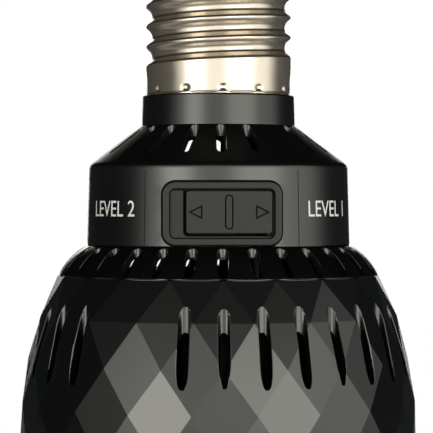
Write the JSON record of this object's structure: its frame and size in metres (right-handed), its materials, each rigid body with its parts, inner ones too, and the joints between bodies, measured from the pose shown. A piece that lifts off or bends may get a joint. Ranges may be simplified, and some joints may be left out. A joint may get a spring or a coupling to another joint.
{
  "type": "reptile uvb led bulb",
  "caption": "Black LED screw-cap bulb for reptile housings, with a faceted slotted skirt, a slotted cone and a sliding output switch on its band.",
  "frame": {"origin": "centre of the rim at the mouth of the lamp, on the plane that it stands on", "axes": "+Z along the axis towards the screw cap, -Y towards the side with the slide switch"},
  "size_m": [0.0714, 0.0714, 0.1023],
  "materials": {
    "housing_satin": "fine satin texture",
    "housing_gloss": "polished black",
    "switch_black": "satin",
    "bezel_black": "polished black",
    "lens_clear": "clear",
    "gasket_rubber": "matte",
    "sink_black": "black anodised",
    "board_white": "white solder mask",
    "board_green": "green solder mask",
    "led_daylight": "phosphor",
    "led_uva": "clear window",
    "led_uvb": "clear window",
    "screw_steel": "zinc plated",
    "cap_nickel": "nickel plated",
    "cap_black": "glossy black insulator",
    "contact_brass": "tinned brass",
    "ferrite": "ferrite with yellow tape",
    "can_sleeve": "sleeve",
    "chip_black": "moulded",
    "resistor_tan": "lacquer",
    "switch_can": "tinned",
    "lead_brown": "insulation",
    "lead_black": "insulation"
  },
  "bodies": {
    "lamp": {"front_bezel": "bezel_black", "front_lens": "lens_clear", "lens_gasket": "gasket_rubber", "led_board": "board_white", "daylight_leds": "led_daylight", "uva_leds": "led_uva", "uvb_leds": "led_uvb", "board_screws": "screw_steel", "heat_sink": "sink_black", "faceted_housing": "housing_gloss", "upper_housing": "housing_satin", "switch_frame": "switch_black", "switch_body": "switch_can", "switch_board": "board_green", "switch_screws": "screw_steel", "switch_leads": "lead_black", "driver_board": "board_green", "driver_transformer": "ferrite", "driver_capacitor": "can_sleeve", "output_capacitor": "can_sleeve", "driver_inductor": "ferrite", "driver_chips": "chip_black", "fuse_resistor": "resistor_tan", "led_leads": "lead_brown", "live_lead": "lead_brown", "neutral_lead": "lead_black", "screw_shell": "cap_nickel", "cap_insulator": "cap_black", "centre_contact": "contact_brass"},
    "switch_slider": {"switch_knob": "switch_black", "switch_lever": "chip_black"}
  },
  "joints": [
    {"name": "switch_slide", "type": "slide", "parent": "lamp", "child": "switch_slider", "axis": [-1, 0, 0], "range_m": [0, 0.0023]}
  ]
}
